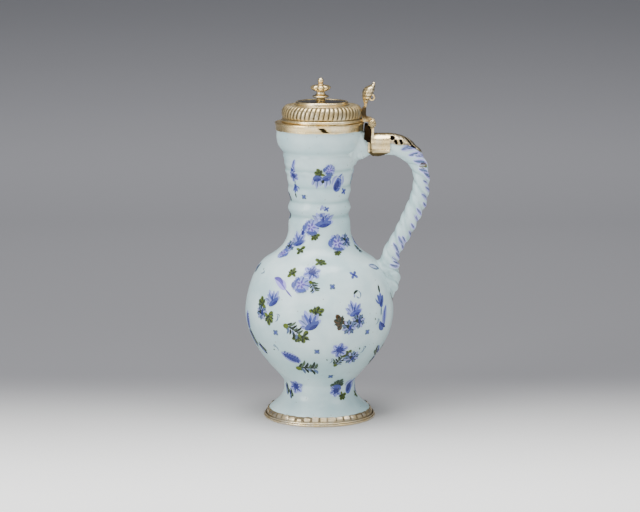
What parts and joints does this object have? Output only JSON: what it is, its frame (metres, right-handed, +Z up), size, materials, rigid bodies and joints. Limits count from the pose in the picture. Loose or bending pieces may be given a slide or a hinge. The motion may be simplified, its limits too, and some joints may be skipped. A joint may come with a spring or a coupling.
{
  "type": "lidded jug",
  "caption": "Narrow-necked pear-shaped faience jug with a twisted handle, painted flower sprigs, gilt foot and mouth mounts and a hinged gadrooned lid.",
  "frame": {"origin": "on the jug's axis at the height of the table, 1 mm under the flat faience base", "axes": "+Z up the jug's axis, +X towards the handle, the lid's hinge line along Y"},
  "size_m": [0.1576, 0.1272, 0.2921],
  "materials": {
    "faience": "glossy tin glaze",
    "gilt": "polished silver-gilt",
    "worn_gilt": "rubbed silver-gilt",
    "plaster": "matt"
  },
  "bodies": {
    "jug": {"faience_body": "faience", "faience_handle": "faience", "foot_base_ring": "worn_gilt", "foot_tabbed_collar": "worn_gilt", "foot_packing": "plaster", "rim_band": "gilt", "rim_lip": "gilt", "rim_packing": "plaster", "hinge_bracket": "gilt", "bracket_knuckle_1": "gilt", "bracket_knuckle_2": "gilt", "bracket_knuckle_3": "gilt", "hinge_pin": "gilt", "pin_cap_front": "gilt", "pin_cap_back": "gilt", "sleeve_saddle": "gilt", "sleeve_underplate": "gilt", "handle_strap": "worn_gilt"},
    "lid": {"lid_flange": "gilt", "lid_bezel": "gilt", "lid_dome": "gilt", "lid_step_ring": "gilt", "lid_disc": "gilt", "finial_foot": "gilt", "finial_knop": "gilt", "finial_ball": "gilt", "finial_rod": "gilt", "finial_washer": "gilt", "finial_nut": "gilt", "lid_hinge_leaf": "gilt", "lid_knuckle_1": "gilt", "lid_knuckle_2": "gilt", "thumbpiece_shell": "gilt", "thumbpiece_scroll": "gilt"}
  },
  "joints": [
    {"name": "lid_hinge", "type": "hinge", "parent": "jug", "child": "lid", "pos_m": [0.0447, 0, 0.2537], "axis": [0, 1, 0], "range_deg": [0, 100]}
  ]
}
